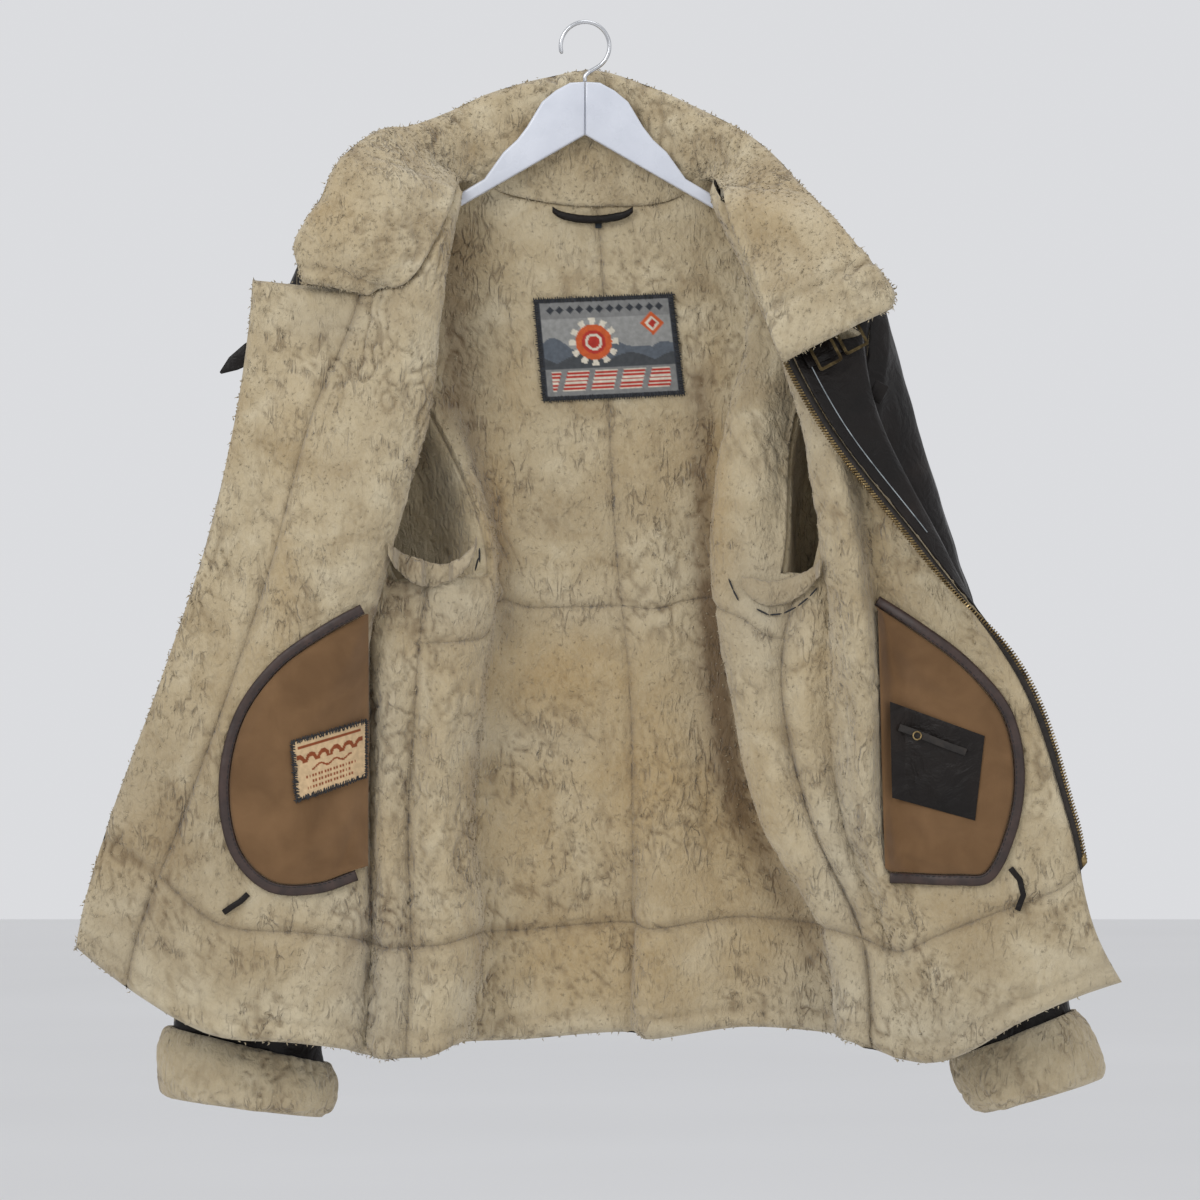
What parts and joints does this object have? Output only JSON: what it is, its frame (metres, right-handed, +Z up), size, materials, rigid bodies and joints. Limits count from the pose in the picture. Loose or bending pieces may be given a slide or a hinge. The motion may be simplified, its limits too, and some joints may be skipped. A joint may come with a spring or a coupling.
{
  "type": "shearling jacket on a hanger",
  "caption": "Hip-length shearling jacket with its fleece inside out of its open fronts, a wide fleece collar and turned-back cuffs, hung wide open on a white wooden hanger with a wire hook.",
  "frame": {"origin": "top of the inside of the hanger's wire hook, where a rail carries it", "axes": "+Z up; -Y towards the viewer, on the side that the open fleece faces; +X to the viewer's right"},
  "size_m": [0.8867, 0.1911, 0.9392],
  "materials": {
    "fleece": "curly shearling wool, cream with tan and grey patches, over a dark leather outer side",
    "leather": "satin dark brown sheepskin with fine creases",
    "binding": "soft folded leather tape, satin",
    "pocket_cotton": "plain brushed cotton",
    "label_cloth": "printed cotton tape, matt",
    "patch_cloth": "printed cloth with an overlocked edge, matt",
    "brass": "dark antique",
    "zip_tape": "woven zip tape, matt",
    "painted_wood": "white gloss paint",
    "steel": "bright wire"
  },
  "bodies": {
    "root": {"wind_flap": "fleece", "front_left": "fleece", "front_band_left": "fleece", "back_upper_left": "fleece", "back_upper_right": "fleece", "back_lower_left": "fleece", "back_lower_right": "fleece", "back_band": "fleece", "front_right": "fleece", "front_band_right": "fleece", "sleeve_left_front": "leather", "sleeve_left_back": "leather", "sleeve_right_front": "leather", "sleeve_right_back": "leather", "cuff_left": "fleece", "cuff_right": "fleece", "collar": "fleece", "pocket_binding_left": "binding", "pocket_bag_left": "pocket_cotton", "pocket_binding_right": "binding", "pocket_bag_right": "pocket_cotton", "maker_label": "label_cloth", "pocket_corner_right": "leather", "pocket_zip_right": "zip_tape", "pocket_tie_left": "binding", "pocket_tie_right": "binding", "back_patch": "patch_cloth", "size_tab": "label_cloth", "hang_loop": "leather", "zip_tape_right": "zip_tape", "zip_tape_left": "zip_tape", "outer_welt_left": "leather", "outer_welt_right": "leather", "throat_strap_right": "leather", "throat_strap_left": "leather", "throat_tab_right": "leather", "buckle_lower": "brass", "buckle_upper": "brass", "hanger_left": "painted_wood", "hanger_right": "painted_wood", "hook": "steel"}
  },
  "joints": []
}
